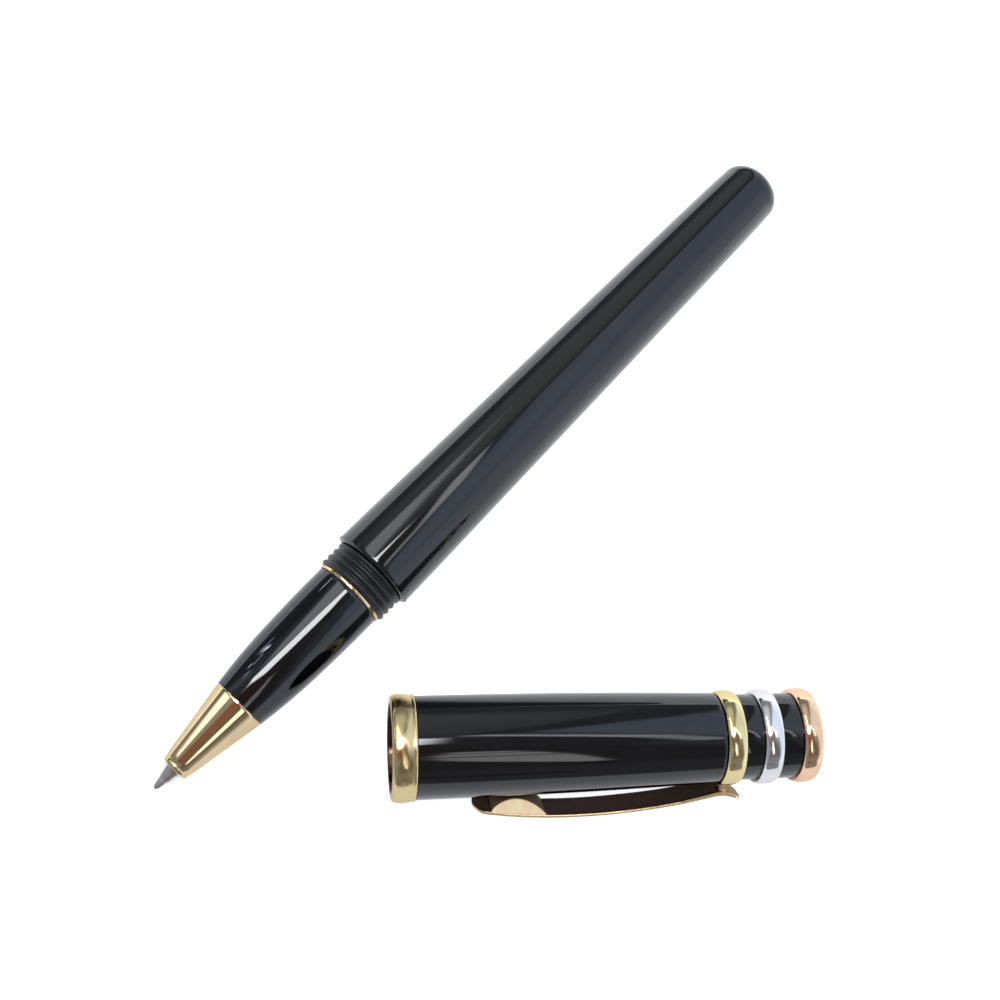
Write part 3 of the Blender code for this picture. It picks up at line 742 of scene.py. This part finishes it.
# Panels and screens of the light tent: corners as (angle from straight up, heading), in degrees and in
# order round the panel, then the light's colour and how soft the edge is.
PANELS = (
    ("upper wall", [(20, 75), (24, 118), (70, 118), (70, 75)], (0.76, 0.84, 0.82), 0.16),
    ("skirting", [(78, 165), (100, 165), (100, 72), (78, 72)], (0.27, 0.30, 0.33), 0.08),
    ("near floor", [(40, -110), (100, -110), (100, -56), (60, -52)], (0.29, 0.29, 0.31), 0.06),
    ("near wall", [(6, -110), (60, -100), (60, -54), (30, -38), (8, 0)], (0.22, 0.195, 0.19), 0.05),
    ("near rail", [(72, -92), (76, -92), (76, -76), (72, -76)], (0.14, 0.14, 0.15), 0.012),
    ("dark centre", [(6, 120), (6, -120), (22, -30), (21, 10), (19, 50)], (0.25, 0.24, 0.25), 0.02),
    ("photographer", [(2, 90), (18, 178), (34, 192), (32, -118), (22, -60)], (0.33, 0.175, 0.13), 0.03),
    ("side window", [(25, 62), (90, -61), (110, 0), (100, 68)], (0.98, 1.14, 1.40), 0.025),
    ("window sill", [(72, 66), (72, -60), (100, -60), (100, 66)], (1.22, 1.37, 1.58), 0.09),
    ("window edge", [(26, 66), (32, 62), (38, 10), (62, -44), (57, -49), (30, -10)],
     (1.12, 1.27, 1.52), 0.06),
    ("window jamb", [(19, 70), (19, 62), (60, 66.5), (92, 68), (92, 74), (60, 72.5)],
     (0.26, 0.28, 0.31), 0.012),
    ("ceiling glow", [(26, 148), (14, 125), (15, 92), (27, 98), (47, 106), (48, 118)],
     (3.0, 3.1, 3.2), 0.05),
    ("ceiling lamp", [(23, 158), (19, 172), (6, 205), (6.5, 20), (16.5, 66), (14, 95)],
     (18.0, 18.4, 19.0), 0.02),
    ("wall wedge", [(40, 168), (70, 150), (71, 146), (40, 158)], (2.2, 2.3, 2.5), 0.02),
    ("wall streak", [(36, 153), (34, 147), (60, 144), (66, 149)], (0.9, 0.95, 1.05), 0.03),
    ("dark wall", [(50, 124), (50, 146), (84, 146), (84, 124)], (0.15, 0.20, 0.25), 0.05),
    ("slanted strip", [(20, 67), (22, 64), (21.5, 17), (18.5, 13)], (3.9, 4.0, 4.2), 0.010),
    ("slanted tail", [(18.5, 15), (21.5, 17), (25.5, -16), (23.2, -20)], (2.8, 2.9, 3.0), 0.010),
    ("low lamp", [(18, -65), (20, -58), (31, -62), (42, -66.5), (50, -68.5), (50, -71), (44, -74.5),
                  (35, -78), (27, -76)], (2.8, 2.8, 2.8), 0.012),
    ("lamp slat", [(27.5, -80), (29.0, -80), (31.5, -62.5), (30.0, -62)], (0.5, 0.48, 0.48), 0.006),
    ("lamp slat", [(21.5, -72), (22.5, -73), (24.3, -57.5), (23.4, -57)], (0.5, 0.48, 0.48), 0.006),
    ("pane", [(49.0, 147.2), (50.4, 147.4), (50.2, 144.8), (48.8, 144.8)], (10.0, 11.0, 12.4), 0.008),
    ("pane", [(60.0, 142.3), (62.0, 142.5), (62.0, 140.9), (60.0, 140.8)], (14.0, 15.2, 17.2), 0.008),
    ("pane", [(54.0, 141.3), (55.5, 141.4), (55.5, 138.9), (54.0, 138.8)], (9.0, 9.8, 11.0), 0.008),
    ("pane", [(68.0, 138.0), (70.0, 138.2), (70.0, 136.9), (67.5, 137.0)], (10.0, 11.0, 12.4), 0.008),
    ("pane", [(54.6, 137.0), (62.6, 138.4), (63.6, 137.0), (55.4, 136.2)], (15.0, 16.4, 18.4), 0.008),
    ("pane", [(66.6, 137.2), (67.9, 137.2), (67.9, 134.4), (66.6, 134.4)], (7.0, 7.8, 8.8), 0.008),
    ("pane", [(66.9, 126.9), (68.2, 126.9), (68.4, 125.0), (67.0, 125.0)], (14.0, 15.2, 17.2), 0.008),
)


def heading(zenith, azimuth):
    """Unit vector towards a place given by its two angles in degrees."""
    z, a = math.radians(zenith), math.radians(azimuth)
    return Vector((math.sin(z) * math.cos(a), math.sin(z) * math.sin(a), math.cos(z)))


def room():
    """The light tent as a world: soft-edged panels painted by direction, and a plain pale backdrop for
    what the camera sees above the table's edge."""
    world = bpy.data.worlds.new("room")
    world.use_nodes = True
    tree = world.node_tree
    link, new = tree.links.new, tree.nodes.new
    tree.nodes.clear()
    where = new("ShaderNodeTexCoord").outputs["Generated"]

    def product(a, b):
        node = new("ShaderNodeMath")
        node.operation = "MULTIPLY"
        link(a, node.inputs[0])
        link(b, node.inputs[1])
        return node.outputs[0]

    paint = None
    for _, corners, light, soft in PANELS:
        ways = [heading(*corner) for corner in corners]
        middle = sum(ways, Vector())
        mask = None
        for one, two in zip(ways, ways[1:] + ways[:1]):
            side = one.cross(two).normalized()
            side = side if side.dot(middle) > 0 else -side
            dot = new("ShaderNodeVectorMath")
            dot.operation = "DOT_PRODUCT"
            dot.inputs[1].default_value = side
            link(where, dot.inputs[0])
            step = new("ShaderNodeMapRange")
            step.interpolation_type = "SMOOTHSTEP"
            step.inputs["From Min"].default_value = -soft
            step.inputs["From Max"].default_value = soft
            link(dot.outputs["Value"], step.inputs["Value"])
            inside = step.outputs["Result"]
            mask = inside if mask is None else product(mask, inside)
        mix = new("ShaderNodeMix")
        mix.data_type = "RGBA"
        link(mask, mix.inputs["Factor"])
        mix.inputs[6].default_value = (*ROOM, 1)
        mix.inputs[7].default_value = (*light, 1)
        if paint is not None:
            link(paint, mix.inputs[6])
        paint = mix.outputs[2]

    tent, backdrop = new("ShaderNodeBackground"), new("ShaderNodeBackground")
    link(paint, tent.inputs["Color"])
    backdrop.inputs["Color"].default_value = (*BACKDROP, 1)
    seen = new("ShaderNodeLightPath").outputs["Is Camera Ray"]
    choose, out = new("ShaderNodeMixShader"), new("ShaderNodeOutputWorld")
    link(seen, choose.inputs[0])
    link(tent.outputs[0], choose.inputs[1])
    link(backdrop.outputs[0], choose.inputs[2])
    link(choose.outputs[0], out.inputs["Surface"])
    bpy.context.scene.world = world


def studio():
    floor()
    room()
    camera()
    bpy.context.scene.view_settings.view_transform = "Standard"


build_pen()
build_cap()
build_clip()
paint_kept_nodes()
studio()
